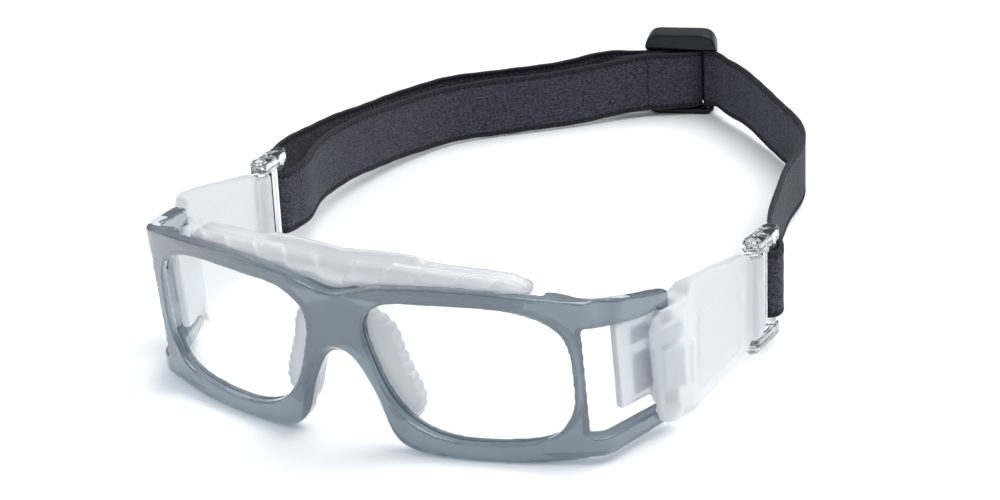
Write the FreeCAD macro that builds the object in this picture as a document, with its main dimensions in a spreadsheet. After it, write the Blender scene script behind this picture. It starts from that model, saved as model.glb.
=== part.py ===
"""Sports protective goggles: moulded front, lenses, pads, hinged temples, strap buckles, elastic strap and slider.

Frame: +Z up, the wearer looks along -Y, +X is the wearer's left. The origin is on the surface that the
goggles rest on, below the front of the bridge. Left-hand pieces here are the ones at -X in this frame.
"""
import FreeCAD, Part
import Sketcher
import math
import os

from FreeCAD import Placement, Rotation, Vector

DOC = FreeCAD.newDocument("SportsGoggles")

# ---------------------------------------------------------------- driving dimensions (mm)

DIMENSIONS = {
    # front
    "front_radius": 150.0,       # wrap of the front face, seen from above
    "front_depth": 5.6,          # depth of the rims, front to back
    "face_lean": 0.12,           # how far the front leans back per mm of drop
    "lean_height": 42.5,         # height at which the plan dimensions below are given
    "plan_height": 52.0,
    "corner_span": 61.0,         # half width at which the front face ends
    "corner_radius": 8.0,
    "arm_front_x": 70.5,
    "arm_front_y": 25.0,
    "arm_rear_x": 76.0,
    "arm_rear_y": 43.5,
    "arm_thickness": 4.4,
    "window_floor": 8.0,
    "window_ceiling": 37.4,
    "bar_radius": 2.0,
    "rebate_depth": 3.3,         # front edge of the step that seats the brow pad
    "rebate_floor": 47.4,
    # lenses
    "lens_setback": 2.6,
    "lens_thickness": 1.8,
    "lens_overlap": 1.0,         # how far the lens edge sits in its groove
    "lens_play": 0.05,
    # pads
    "brow_half_angle": 20.8,
    "nose_pad_depth": 5.0,
    # temples
    "bore_radius": 2.08,         # in the hinge insert, running on the frame's bar
    "sleeve_radius": 3.1,
    "wrap_radius": 4.2,
    "wrap_floor": 8.5,
    "wrap_ceiling": 36.9,
    "flap_gap": 0.5,
    "flap_thickness": 1.7,
    "plate_thickness": 3.6,
    "plate_rear_x": 80.0,
    # buckles
    "barrel_x": 78.3,
    "barrel_y": 91.8,
    "barrel_radius": 2.1,
    "barrel_bore_radius": 2.18,
    "knuckle_radius": 3.2,
    "strap_bar_x": 78.9,
    "strap_bar_y": 103.0,
    "strap_bar_radius": 1.8,
    "buckle_floor": 3.5,
    "buckle_height": 32.0,
    "buckle_rail": 3.5,
    "buckle_half_width": 2.6,
    # strap and slider
    "strap_width": 20.0,
    "strap_thickness": 1.3,
    "loop_play": 0.35,           # between webbing and the bar that it turns round
    "slider_x": -17.3,
    "slider_y": 262.4,
    "slider_turn": 17.0,         # its length turned from the X axis, degrees
    "slider_length": 24.0,
    "slider_height": 29.4,
    "slider_depth": 7.2,
    "slider_low_rail": 2.0,
    "slider_high_rail": 4.8,
    "slider_end_bar": 2.7,
    "slider_corner": 4.5,
    "slider_bar_front": -0.2,    # front of the two end bars; the webbing passes before them
    "centre_bar_along": 3.9,     # of the slider's middle
    "centre_bar_radius": 1.5,
}

sheet = DOC.addObject("Spreadsheet::Sheet", "Dimensions")
for row, (alias, number) in enumerate(DIMENSIONS.items(), start=1):
    sheet.set(f"A{row}", alias)
    sheet.set(f"B{row}", str(number))
    sheet.setAlias(f"B{row}", alias)
DOC.recompute()


def size(alias):
    """Value of a driving dimension in the sheet."""
    return float(sheet.get(alias))


def bind(item, prop, formula):
    """Drive a property from the sheet; the formula names its cells as Dimensions.alias."""
    item.setExpression(prop, formula)


# ---------------------------------------------------------------- sketches, extrusions and booleans

TOP = Placement(Vector(0, 0, 0), Rotation())
FRONT = Placement(Vector(0, 0, 0), Rotation(Vector(1, 0, 0), 90))
SIDE = Placement(Vector(0, 0, 0), Rotation(Vector(1, 1, 1), 120))


def sketch(name, plane):
    made = DOC.addObject("Sketcher::SketchObject", name)
    made.Placement = plane
    return made


def number(coordinate):
    """A coordinate is a plain number or the alias of a dimension."""
    return size(coordinate) if isinstance(coordinate, str) else float(coordinate)


def polygon(name, plane, points):
    """Closed straight-sided sketch. Every corner is dimensioned from the sketch's origin."""
    made = sketch(name, plane)
    corners = [Vector(number(u), number(v), 0) for u, v in points]
    for index, start in enumerate(corners):
        end = corners[(index + 1) % len(corners)]
        made.addGeometry(Part.LineSegment(start, end), False)
    for index, (u, v) in enumerate(points):
        following = (index + 1) % len(points)
        made.addConstraint(Sketcher.Constraint("Coincident", index, 2, following, 1))
        for kind, coordinate, value in (("DistanceX", u, corners[index].x), ("DistanceY", v, corners[index].y)):
            if value == 0.0:
                on_axis = "PointOnObject"
                made.addConstraint(Sketcher.Constraint(on_axis, index, 1, -2 if kind == "DistanceX" else -1))
                continue
            place = made.addConstraint(Sketcher.Constraint(kind, -1, 1, index, 1, value))
            if isinstance(coordinate, str):
                bind(made, f"Constraints[{place}]", f"Dimensions.{coordinate}")
    return made


def outline(name, plane, curves):
    """Closed sketch of given curves, end to end."""
    made = sketch(name, plane)
    for curve in curves:
        made.addGeometry(curve, False)
    return made


def smooth(points, closed=False):
    curve = Part.BSplineCurve()
    curve.interpolate([Vector(u, v, 0) for u, v in points], closed)
    return curve


def line(start, end):
    return Part.LineSegment(Vector(*start, 0), Vector(*end, 0))


def extrude(name, profile, direction, length, back=0.0):
    made = DOC.addObject("Part::Extrusion", name)
    made.Base = profile
    made.DirMode = "Custom"
    made.Dir = Vector(*direction)
    made.LengthFwd = length if not isinstance(length, str) else 1.0
    if isinstance(length, str):
        bind(made, "LengthFwd", length)
    made.LengthRev = back
    made.Solid = True
    return made


def common(name, *items):
    made = DOC.addObject("Part::MultiCommon", name)
    made.Shapes = list(items)
    return made


def fuse(name, *items):
    made = DOC.addObject("Part::MultiFuse", name)
    made.Shapes = list(items)
    made.Refine = True
    return made


def cut(name, base, tool):
    made = DOC.addObject("Part::Cut", name)
    made.Base = base
    made.Tool = tool
    return made


def mirrored(name, source):
    """The same piece on the other side of the middle plane."""
    made = DOC.addObject("Part::Mirroring", name)
    made.Source = source
    made.Normal = Vector(1, 0, 0)
    return made


FINISHED = []


def finish(item, label):
    """Give a finished piece the name of its file."""
    item.Label = label
    FINISHED.append(item)
    return item


# ---------------------------------------------------------------- plan geometry of the front

LEAN = Vector(0, -size("face_lean"), 1)
PLAN = Placement(Vector(0, size("face_lean") * size("lean_height"), 0), Rotation())
PLAN_LENGTH = "Dimensions.plan_height * sqrt(1 + Dimensions.face_lean ^ 2)"


def leaning(name, profile):
    """Extrude a plan profile up the leaning direction of the front."""
    return extrude(name, profile, LEAN, PLAN_LENGTH)


def arm_axis():
    """Unit vectors along the arm towards its rear, and outwards."""
    along = Vector(size("arm_rear_x") - size("arm_front_x"), size("arm_rear_y") - size("arm_front_y"), 0)
    along.normalize()
    return along, Vector(along.y, -along.x, 0)


ALONG, OUT = arm_axis()
ARM_REAR = Vector(size("arm_rear_x"), size("arm_rear_y"), 0)
HALF_ARM = size("arm_thickness") / 2
HINGE = ARM_REAR - (ALONG + OUT) * HALF_ARM


def wrapped(depth, inset, tail):
    """Right half of the front in plan at a depth behind its face: bow, corner and arm, ending at the arm's rear."""
    radius = size("front_radius") - depth
    span = size("corner_span") - inset
    bow_end = Vector(span, size("front_radius") - math.sqrt(radius**2 - span**2), 0)
    bow_turn = math.asin(span / radius)
    heading = Vector(math.cos(bow_turn), math.sin(bow_turn), 0)
    on_arm = ARM_REAR - OUT * inset
    # the corner point where the bow's end tangent meets the arm line
    cross = heading.x * ALONG.y - heading.y * ALONG.x
    reach = ((on_arm.x - bow_end.x) * ALONG.y - (on_arm.y - bow_end.y) * ALONG.x) / cross
    corner = bow_end + heading * reach
    turn = heading.getAngle(ALONG)
    radius_here = max(size("corner_radius") - inset, 2.5)
    setback = radius_here * math.tan(turn / 2)
    first, last = corner - heading * setback, corner + ALONG * setback
    middle_way = (ALONG - heading)
    middle_way.normalize()
    centre = corner + middle_way * (radius_here / math.cos(turn / 2))
    middle = centre - middle_way * radius_here
    return {
        "centre": Vector(0, size("front_radius") - radius, 0),
        "bow_mid": Vector(radius * math.sin(bow_turn / 2), size("front_radius") - radius * math.cos(bow_turn / 2), 0),
        "bow_end": bow_end,
        "first": first,
        "middle": middle,
        "last": last,
        "tail": on_arm + ALONG * tail,
    }


def flip(point):
    return Vector(-point.x, point.y, point.z)


def shell_curves():
    """Plan of the front: outer and inner wrap joined by round ends about the hinge bars."""
    outer = wrapped(0.0, 0.0, -HALF_ARM)
    inner = wrapped(size("front_depth"), size("arm_thickness"), -HALF_ARM)
    curves = []
    for track in (outer, inner):
        curves += [
            Part.Arc(flip(track["bow_end"]), track["centre"], track["bow_end"]),
            Part.LineSegment(track["bow_end"], track["first"]),
            Part.Arc(track["first"], track["middle"], track["last"]),
            Part.LineSegment(track["last"], track["tail"]),
            Part.LineSegment(flip(track["bow_end"]), flip(track["first"])),
            Part.Arc(flip(track["first"]), flip(track["middle"]), flip(track["last"])),
            Part.LineSegment(flip(track["last"]), flip(track["tail"])),
        ]
    rear = HINGE + ALONG * HALF_ARM
    curves.append(Part.Arc(outer["tail"], rear, inner["tail"]))
    curves.append(Part.Arc(flip(outer["tail"]), flip(rear), flip(inner["tail"])))
    return curves


def annulus(name, near, far, half_angle=30.0):
    """Plan sector between two depths behind the front face."""
    radius = size("front_radius")
    inner, outer = radius - far, radius - near
    angle = math.radians(half_angle)

    def at(distance, turn):
        return Vector(distance * math.sin(turn), radius - distance * math.cos(turn), 0)

    return outline(name, PLAN, [
        Part.Arc(at(outer, -angle), at(outer, 0), at(outer, angle)),
        Part.LineSegment(at(outer, angle), at(inner, angle)),
        Part.Arc(at(inner, angle), at(inner, 0), at(inner, -angle)),
        Part.LineSegment(at(inner, -angle), at(outer, -angle)),
    ])


# ---------------------------------------------------------------- frame

BROW = [(7.0, 47.7), (13.0, 49.4), (21.0, 50.4), (34.0, 50.9), (48.0, 50.1), (66.0, 47.9)]
RIM = [(3.3, 26.7), (6.2, 22.4), (8.9, 16.5), (10.8, 10.5), (13.2, 5.2), (17.0, 2.0), (22.5, 0.6), (33.0, 0.0),
       (45.0, 0.0), (58.0, 1.0), (68.0, 2.6)]
BROW_MIDDLE, ARCH_TOP, SIDE_EDGE = 46.0, 28.2, 85.0
ARM_SIDE = [(-8, -2), (17, -2), (19, 2.4), (33, 2.9), (54, 4.4), (54, 39.5), (44, 41.2), (30, 44.4), (17, 48.0),
            (16, 54), (-8, 54)]
EYE = [(10.0, 41.0), (14.5, 44.3), (24.5, 45.8), (38.0, 46.0), (51.0, 44.3), (59.0, 38.8), (61.1, 28.0),
       (60.2, 16.0), (55.5, 8.9), (44.0, 5.9), (30.0, 5.9), (20.5, 9.2), (13.6, 17.0), (9.6, 28.0)]
EYE_CENTRE = Vector(35.0, 26.0, 0)
BACKWARDS, SIDEWAYS, UPWARDS = (0, 1, 0), (1, 0, 0), (0, 0, 1)
REACH, FRONT_MARGIN, HALF_SPAN = 70.0, 10.0, 95.0


def both_sides(middle, points):
    """Points of a symmetric curve from one side to the other."""
    return [(-u, v) for u, v in reversed(points)] + [(0.0, middle)] + list(points)


def front_outline():
    """Front elevation of the frame, with the brow above and the rims and arch below."""
    top = both_sides(BROW_MIDDLE, BROW)
    bottom = both_sides(ARCH_TOP, RIM)
    curves = [smooth(top), smooth(bottom)]
    for side in (-1, 1):
        brow_end = (side * BROW[-1][0], BROW[-1][1])
        rim_end = (side * RIM[-1][0], RIM[-1][1])
        high, low = (side * SIDE_EDGE, BROW[-1][1]), (side * SIDE_EDGE, RIM[-1][1])
        curves += [line(brow_end, high), line(high, low), line(low, rim_end)]
    return curves


def eye(margin):
    """Outline of the right lens opening, grown by a margin away from its centre."""
    points = []
    for u, v in EYE:
        away = Vector(u, v, 0) - EYE_CENTRE
        grown = EYE_CENTRE + away * ((away.Length + margin) / away.Length)
        points.append((grown.x, grown.y))
    return [smooth(points, True)]


def through(name, curves):
    """A front elevation run through the whole depth of the front."""
    return extrude(name, outline(f"{name}Outline", FRONT, curves), BACKWARDS, REACH, FRONT_MARGIN)


def side_block(name, points, left=0.0):
    """A side elevation run out to the right, and to the left as far as asked."""
    return extrude(name, polygon(f"{name}Side", SIDE, points), SIDEWAYS, HALF_SPAN, left)


def side_slab(name, front, rear, low, high, left=0.0):
    return side_block(name, [(front, low), (rear, low), (rear, high), (front, high)], left)


def hinge_post(name, radius, low, high):
    """Upright cylinder on the leaning hinge axis, between two heights."""
    plan = outline(f"{name}Plan", PLAN, [Part.Circle(HINGE, Vector(0, 0, 1), radius)])
    return common(name, leaning(f"{name}Blank", plan), side_slab(f"{name}Reach", 20, 70, low, high))


def build_frame():
    shell = leaning("FrontWrap", outline("FrontPlan", PLAN, shell_curves()))
    blank = common("FrontBlank", shell, through("FrontFace", front_outline()),
                   side_block("ArmDepth", ARM_SIDE, HALF_SPAN))

    play = size("lens_play")
    groove_band = annulus("GroovePlan", size("lens_setback") - play,
                          size("lens_setback") + size("lens_thickness") + play)
    groove = common("LensGroove", leaning("GrooveBand", groove_band),
                    through("GrooveFace", eye(size("lens_overlap") + play)))
    eye_cut = fuse("EyeCut", through("EyeOpening", eye(0.0)), groove)

    post = wrapped(0.0, 0.0, 0.0)["first"]
    sweep = polygon("WindowPlan", PLAN, [
        (post.x + 8.0, post.y - 8.0), (post.x - 9.0, post.y + 9.0), (post.x - 9.0, REACH), (HALF_SPAN, REACH),
        (HALF_SPAN, post.y - 8.0)])
    band = side_block("WindowBand", [
        (5, "window_floor"), (60, "window_floor"), (60, "window_ceiling"), (33, "window_ceiling"), (15, 40.4),
        (5, 40.4)])
    window = common("WindowCut", leaning("WindowSweep", sweep), band)

    rebate = common("RebateCut", leaning("RebateBand", annulus("RebatePlan", size("rebate_depth"), 12.0, 22.0)),
                    extrude("RebateFace", polygon("RebateSide", SIDE, [
                        (-8, "rebate_floor"), (30, "rebate_floor"), (30, 60), (-8, 60)]), SIDEWAYS, 62.0, 62.0))
    tools = fuse("FrontCuts", eye_cut, mirrored("EyeCutLeft", eye_cut), window,
                 mirrored("WindowCutLeft", window), rebate)
    body = cut("FrontCut", blank, tools)
    bar = hinge_post("HingeBar", size("bar_radius"), size("window_floor") - 0.5, size("window_ceiling") + 0.5)
    finish(fuse("Front", body, bar, mirrored("HingeBarLeft", bar)), "frame_front")
    return cut("BrowSeat", blank, rebate)


# ---------------------------------------------------------------- lenses and pads

BROW_SECTION = [(2.2, 46.0), (2.2, 50.2), (4.6, 52.2), (8.6, 54.4), (11.0, 54.2), (11.9, 50.0), (10.6, 45.0),
                (6.0, 43.8)]
PAD_OUTER = [(6.0, 41.0), (11.5, 38.6), (14.6, 34.6), (15.5, 30.8), (16.9, 26.2), (19.4, 19.5), (20.3, 13.6),
             (18.1, 8.3)]
PAD_INNER = [(4.0, 27.8), (7.0, 23.5), (9.3, 18.0), (10.9, 12.5), (13.0, 8.0)]
PAD_CROWN, PAD_SADDLE = 42.4, 29.3


def build_lenses():
    plan = annulus("LensPlan", size("lens_setback"), size("lens_setback") + size("lens_thickness"))
    lens = common("Lens", leaning("LensBand", plan), through("LensEdge", eye(size("lens_overlap"))))
    finish(lens, "lens_right")
    finish(mirrored("LensLeft", lens), "lens_left")


def build_brow_pad(seat):
    """Section swept round the bow of the front, seated over the front's top edge."""
    swept = DOC.addObject("Part::Revolution", "BrowSweep")
    swept.Source = polygon("BrowSection", SIDE, BROW_SECTION)
    swept.Axis = Vector(0, 0, 1)
    swept.Base = Vector(0, size("front_radius"), 0)
    bind(swept, "Base.y", "Dimensions.front_radius")
    bind(swept, "Angle", "2 * Dimensions.brow_half_angle")
    swept.Symmetric = True
    swept.Solid = True
    finish(cut("BrowPad", swept, seat), "brow_pad")


def build_nose_pad():
    outer, inner = both_sides(PAD_CROWN, PAD_OUTER), both_sides(PAD_SADDLE, PAD_INNER)
    curves = [smooth(outer), smooth(inner), line(outer[0], inner[0]), line(outer[-1], inner[-1])]
    depth = size("front_depth")
    band = leaning("NoseBand", annulus("NosePlan", depth, depth + size("nose_pad_depth")))
    finish(common("NosePad", band, through("NoseFace", curves)), "nose_pad")


# ---------------------------------------------------------------- temples

TEMPLE_SIDE = [(34.0, 33.2), (35.4, 36.4), (38.5, 37.7), (44.6, 38.0), (47.6, 38.4), (49.2, 41.4), (51.0, 42.2),
               (58.0, 41.0), (75.0, 36.9), (84.5, 34.7), (87.6, 33.4), (88.6, 31.4), ("barrel_y", 31.3),
               ("barrel_y", 7.6), (88.6, 7.6), (86.5, 5.8), (75.0, 4.6), (56.0, 3.9), (42.0, 3.9), (39.2, 5.4),
               (37.6, 8.5)]
KNUCKLE_FLOOR, KNUCKLE_CEILING = 7.6, 31.3
FLAP_REACH, INNER_FLAP_REACH, INNER_FLAP_THICKNESS = 9.0, 15.5, 2.4
INNER_FLAP_FLOOR, INNER_FLAP_CEILING = 11.0, 36.0
HIGH_LEG, LOW_LEG = (28.0, 33.0), (13.0, 25.0)
TAIL_CLEARANCE = 0.5


def on_arm(along, out):
    """Plan point in the arm's own directions, from the hinge axis."""
    point = HINGE + ALONG * along + OUT * out
    return (point.x, point.y)


def arm_plan(name, points):
    return leaning(name, polygon(f"{name}Plan", PLAN, points))


def strip(name, first, last, inner, outer, low, high):
    """Block along the arm's direction, between two heights."""
    plan = arm_plan(f"{name}Blank", [on_arm(first, inner), on_arm(last, inner), on_arm(last, outer),
                                     on_arm(first, outer)])
    return common(name, plan, side_slab(f"{name}Reach", 15, 70, low, high))


def build_insert():
    """Stiff core of the temple: a sleeve on the frame's bar with legs forward on either side."""
    sleeve = hinge_post("Sleeve", size("sleeve_radius"), LOW_LEG[0], HIGH_LEG[1])
    pieces = [sleeve]
    for side, first, last in (("Outer", -4.5, 3.5), ("Inner", -9.5, 0.0)):
        inner, outer = (2.2, 3.4) if side == "Outer" else (-3.4, -2.2)
        for level, (low, high) in (("High", HIGH_LEG), ("Low", LOW_LEG)):
            pieces.append(strip(f"{side}{level}Leg", first, last, inner, outer, low, high))
    return cut("Insert", fuse("InsertBlank", *pieces), hinge_post("InsertBore", size("bore_radius"), 5, 45))


def build_temple():
    """Soft side piece: two flaps that clasp the arms, a wrap round the bar and a plate back to the buckle."""
    outer = HALF_ARM + size("flap_gap") + size("flap_thickness")
    flap_inner = HALF_ARM + size("flap_gap")
    plate = size("plate_thickness")
    rear = size("plate_rear_x")
    blank = arm_plan("PlateBlank", [
        on_arm(-FLAP_REACH, outer), on_arm(5.0, outer), (rear, 100.0), (rear - plate, 100.0),
        on_arm(10.0, outer - plate), on_arm(3.4, -3.2), on_arm(1.7, -3.2), on_arm(1.7, flap_inner),
        on_arm(-FLAP_REACH, flap_inner)])
    panel = common("Panel", blank, side_block("TempleFace", TEMPLE_SIDE))
    tail = hinge_post("TailClearance", HALF_ARM + TAIL_CLEARANCE, -5, 50)
    wrap = fuse("Wrap", hinge_post("WrapRing", size("wrap_radius"), size("wrap_floor"), size("wrap_ceiling")),
                strip("InnerFlap", -INNER_FLAP_REACH, 1.0, -size("wrap_radius"),
                      INNER_FLAP_THICKNESS - size("wrap_radius"), INNER_FLAP_FLOOR, INNER_FLAP_CEILING))
    knuckle = cylinder("Knuckle", "barrel", size("knuckle_radius"), KNUCKLE_FLOOR, KNUCKLE_CEILING)
    bored = cylinder("BarrelBore", "barrel", size("barrel_bore_radius"), 0.0, 45.0)
    bore = hinge_post("TempleBore", size("bore_radius"), 5, 45)
    insert = build_insert()
    body = fuse("TempleBlank", cut("PanelClear", panel, tail), wrap, knuckle)
    temple = cut("Temple", body, fuse("TempleCuts", bored, bore, insert))
    finish(temple, "temple_right")
    finish(mirrored("TempleLeft", temple), "temple_left")
    finish(insert, "hinge_insert_right")
    finish(mirrored("InsertLeft", insert), "hinge_insert_left")


# ---------------------------------------------------------------- buckles

BARREL_BOSS = 0.9
POST_FRONT, POST_REAR, POST_HALF_WIDTH = 95.9, 99.1, 1.7


def cylinder(name, where, radius, low, high):
    """Upright cylinder at a named place of the sheet."""
    made = DOC.addObject("Part::Cylinder", name)
    made.Radius = radius
    made.Height = high - low
    made.Placement = Placement(Vector(0, 0, low), Rotation())
    bind(made, "Placement.Base.x", f"Dimensions.{where}_x")
    bind(made, "Placement.Base.y", f"Dimensions.{where}_y")
    return made


def stadium(name, first, last, radius, low, high):
    """Bar with round ends, seen from above."""
    across = (last - first)
    across.normalize()
    side = Vector(across.y, -across.x, 0) * radius
    return extrude(name, outline(f"{name}Plan", Placement(Vector(0, 0, low), Rotation()), [
        Part.LineSegment(first + side, last + side),
        Part.Arc(last + side, last + across * radius, last - side),
        Part.LineSegment(last - side, first - side),
        Part.Arc(first - side, first - across * radius, first + side),
    ]), UPWARDS, high - low)


def build_buckle():
    """Open ring: a barrel in the temple, two rails, a post and the bar that the strap turns round."""
    barrel = Vector(size("barrel_x"), size("barrel_y"), 0)
    bar = Vector(size("strap_bar_x"), size("strap_bar_y"), 0)
    floor, rail = size("buckle_floor"), size("buckle_rail")
    ceiling = floor + size("buckle_height")
    half = size("buckle_half_width")
    post_plan = polygon("PostPlan", TOP, [
        (barrel.x - POST_HALF_WIDTH, POST_FRONT), (barrel.x + POST_HALF_WIDTH, POST_FRONT),
        (barrel.x + POST_HALF_WIDTH, POST_REAR), (barrel.x - POST_HALF_WIDTH, POST_REAR)])
    post_height = side_slab("PostReach", POST_FRONT - 5.0, POST_REAR + 5.0, floor + 1.0, ceiling - 1.0)
    pieces = [
        cylinder("Barrel", "barrel", size("barrel_radius"), floor - BARREL_BOSS, ceiling + BARREL_BOSS),
        cylinder("StrapBar", "strap_bar", size("strap_bar_radius"), floor, ceiling),
        stadium("LowRail", barrel, bar, half, floor, floor + rail),
        stadium("HighRail", barrel, bar, half, ceiling - rail, ceiling),
        common("Post", extrude("PostBlank", post_plan, UPWARDS, ceiling), post_height),
    ]
    buckle = finish(fuse("Buckle", *pieces), "buckle_right")
    finish(mirrored("BuckleLeft", buckle), "buckle_left")


# ---------------------------------------------------------------- strap

WEBBING_FLOOR = [(90, 9.4), (104, 9.3), (117, 8.7), (130, 7.9), (145, 6.4), (160, 4.9), (175, 3.2), (190, 1.8),
                 (205, 0.9), (213, 0.6), (222, 0.5), (232, 0.7), (242, 1.4), (248, 2.0), (254, 2.4), (260, 2.4),
                 (266, 2.4), (273, 2.4), (280, 2.4)]
RIGHT_RUN = [(75.15, 110.4), (73.3, 117.0), (70.0, 125.0), (64.5, 142.0), (58.0, 165.0), (54.0, 181.0),
             (51.6, 195.0), (48.5, 207.0), (43.0, 217.5), (30.0, 232.5), (18.0, 244.5), (7.4, 253.8), (0.5, 258.9)]
OUTER_LAYER = [(-36.0, 253.6), (-50.0, 241.5), (-65.0, 228.8), (-79.0, 217.0), (-86.5, 203.0), (-90.5, 184.0),
               (-92.6, 165.0), (-93.4, 148.0), (-92.9, 134.0), (-91.5, 122.0), (-88.6, 113.9), (-86.5, 110.4)]
INNER_LAYER = [(-76.0, 110.4), (-77.0, 116.0), (-79.5, 123.0), (-82.6, 133.0), (-84.9, 148.0), (-85.0, 165.0),
               (-83.6, 180.0), (-80.8, 193.0), (-75.0, 207.0), (-65.5, 217.5), (-54.5, 226.9), (-43.5, 236.6),
               (-33.0, 246.8), (-27.6, 251.4)]
END_TAIL = [(76.9, 114.6), (79.2, 110.4), (81.1, 106.6)]
# where the webbing passes the slider's bars, along the slider and across it
BEFORE_RIGHT_BAR = [(13.2, -3.7), (11.3, -1.75), (9.8, -1.15), (8.6, -0.9)]
BEHIND_CENTRE_BAR = [(7.5, 2.6), (4.3, 4.2)]
BEHIND_TO_LEFT = [(3.8, 4.2), (0.0, 3.9), (-4.0, 3.0), (-6.6, 1.4), (-9.1, -1.2), (-12.4, -2.6)]
INTO_GRIP = [(-6.0, -5.6), (1.6, -4.0)]
OUT_OF_GRIP = [(0.5, 1.3), (-3.2, -0.7), (-8.0, -3.6)]
GRIP_TAIL = [(-30.6, 251.0), (-34.6, 247.6)]


def unit(angle):
    turn = math.radians(angle)
    return Vector(math.cos(turn), math.sin(turn), 0)


def around(centre, radius, first, last, count=5):
    """Points on an arc about a bar, by angle from +X."""
    points = []
    for index in range(count):
        point = centre + unit(first + (last - first) * index / (count - 1)) * radius
        points.append((point.x, point.y))
    return points


def webbing_height():
    """Side elevation of the standing webbing: it hangs from the buckles and rests on the ground behind."""
    top = [(y, z + size("strap_width")) for y, z in WEBBING_FLOOR]
    return extrude("WebbingHeight", outline("WebbingSide", SIDE, [
        smooth(WEBBING_FLOOR), smooth(top), line(WEBBING_FLOOR[0], top[0]), line(WEBBING_FLOOR[-1], top[-1])]),
        SIDEWAYS, 110.0, 110.0)


def webbing(name, label, centreline, height):
    """Band of standing webbing along a centreline seen from above."""
    centre = smooth(centreline)
    sides = {1: [], -1: []}
    for x, y in centreline:
        tangent = centre.tangent(centre.parameter(Vector(x, y, 0)))[0]
        for side, edge in sides.items():
            offset = side * size("strap_thickness") / 2
            edge.append((x - tangent.y * offset, y + tangent.x * offset))
    left, right = sides[1], sides[-1]
    plan = outline(f"{name}Plan", TOP, [smooth(left), smooth(right), line(left[0], right[0]),
                                        line(left[-1], right[-1])])
    return finish(common(name, extrude(f"{name}Band", plan, UPWARDS, 60.0), height), label)


def build_strap():
    height = webbing_height()
    half = size("strap_thickness") / 2
    turn = size("strap_bar_radius") + size("loop_play") + half
    bar = Vector(size("strap_bar_x"), size("strap_bar_y"), 0)
    end_loop = END_TAIL + around(bar, turn, 0, -180) + [(75.9, 106.5), (75.25, 110.0)]
    webbing("EndLoop", "strap_end_loop", end_loop, height)
    webbing("RightRun", "strap_right_run", RIGHT_RUN + at_slider(BEFORE_RIGHT_BAR + BEHIND_CENTRE_BAR), height)
    webbing("OuterLayer", "strap_outer_layer", at_slider(BEHIND_TO_LEFT) + OUTER_LAYER, height)
    fold = [(-86.3, 110.0), (-83.6, 106.6)] + around(flip(bar), turn, -180, 0) + [(-76.0, 106.6), (-76.0, 110.0)]
    webbing("LeftFold", "strap_left_fold", fold, height)
    webbing("InnerLayer", "strap_inner_layer", INNER_LAYER, height)
    centre = Vector(size("centre_bar_along"), 0, 0)
    grip = size("centre_bar_radius") + size("loop_play") + half
    turned = around(centre, grip, -40, 90)
    slider_loop = [(-27.25, 251.7)] + at_slider(INTO_GRIP + turned + OUT_OF_GRIP) + GRIP_TAIL
    webbing("SliderLoop", "strap_slider_loop", slider_loop, height)


# ---------------------------------------------------------------- slider

SLIDER = Placement(Vector(size("slider_x"), size("slider_y"), 0), Rotation(Vector(0, 0, 1), size("slider_turn")))
SLIDER_FACE = SLIDER * FRONT


def at_slider(points):
    """Plan points from places along the slider and across it."""
    placed = [SLIDER * Vector(along, across, 0) for along, across in points]
    return [(point.x, point.y) for point in placed]


def slider_cut(name, half_length, front, back):
    """Opening between the two rails."""
    low, high = size("slider_low_rail"), size("slider_height") - size("slider_high_rail")
    face = polygon(name + "Face", SLIDER_FACE, [
        (-half_length, low), (half_length, low), (half_length, high), (-half_length, high)])
    return extrude(name, face, SLIDER.Rotation * Vector(0, 1, 0), back, -front)


def build_slider():
    """Tri-glide: two rails, two end bars set back, and the centre bar that the strap's end is sewn round."""
    half_length, half_depth = size("slider_length") / 2, size("slider_depth") / 2
    middle, corner = size("slider_height") / 2, size("slider_corner")
    corners = []
    for across, up, start in ((1, 1, 0), (-1, 1, 90), (-1, -1, 180), (1, -1, 270)):
        centre = Vector(across * (half_length - corner), middle + up * (middle - corner), 0)
        corners.append([centre + unit(start + step) * corner for step in (0, 45, 90)])
    curves = []
    for index, arc in enumerate(corners):
        curves.append(Part.Arc(*arc))
        curves.append(Part.LineSegment(arc[2], corners[(index + 1) % 4][0]))
    block = extrude("SliderBlock", outline("SliderOutline", SLIDER_FACE, curves),
                    SLIDER.Rotation * Vector(0, 1, 0), half_depth, half_depth)
    window = slider_cut("SliderWindow", half_length - size("slider_end_bar"), -20.0, 20.0)
    relief = slider_cut("SliderRelief", half_length + 5.0, -20.0, size("slider_bar_front"))
    ring = cut("SliderRing", block, fuse("SliderCuts", window, relief))
    bar_plan = outline("CentreBarPlan", SLIDER, [
        Part.Circle(Vector(size("centre_bar_along"), 0, 0), Vector(0, 0, 1), size("centre_bar_radius"))])
    bar = extrude("CentreBar", bar_plan, UPWARDS, size("slider_height") - 1.0, -1.0)
    finish(fuse("Slider", ring, bar), "slider")


# ---------------------------------------------------------------- stitching

STITCH = (0.3, 1.5, 2.4)


def stitches(name, label, x, y, low, high, heading):
    """Row of thread stitches up the face of the webbing."""
    depth, length, pitch = STITCH
    row = []
    level = low
    while level + length <= high:
        thread = DOC.addObject("Part::Box", f"{name}{len(row)}")
        thread.Length, thread.Width, thread.Height = depth, depth, length
        thread.Placement = Placement(Vector(x, y, level), Rotation(Vector(0, 0, 1), heading))
        row.append(thread)
        level += pitch
    group = DOC.addObject("Part::Compound", name)
    group.Links = row
    return finish(group, label)


def build_stitching():
    stitches("BuckleSeam", "stitching_buckle", 80.3, 109.8, 10.0, 28.0, 28.0)
    stitches("SliderSeam", "stitching_slider", -25.8, 251.6, 3.0, 21.5, 35.0)


brow_seat = build_frame()
build_lenses()
build_brow_pad(brow_seat)
build_nose_pad()
build_temple()
build_buckle()
build_strap()
build_slider()
build_stitching()


# ---------------------------------------------------------------- write

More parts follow.
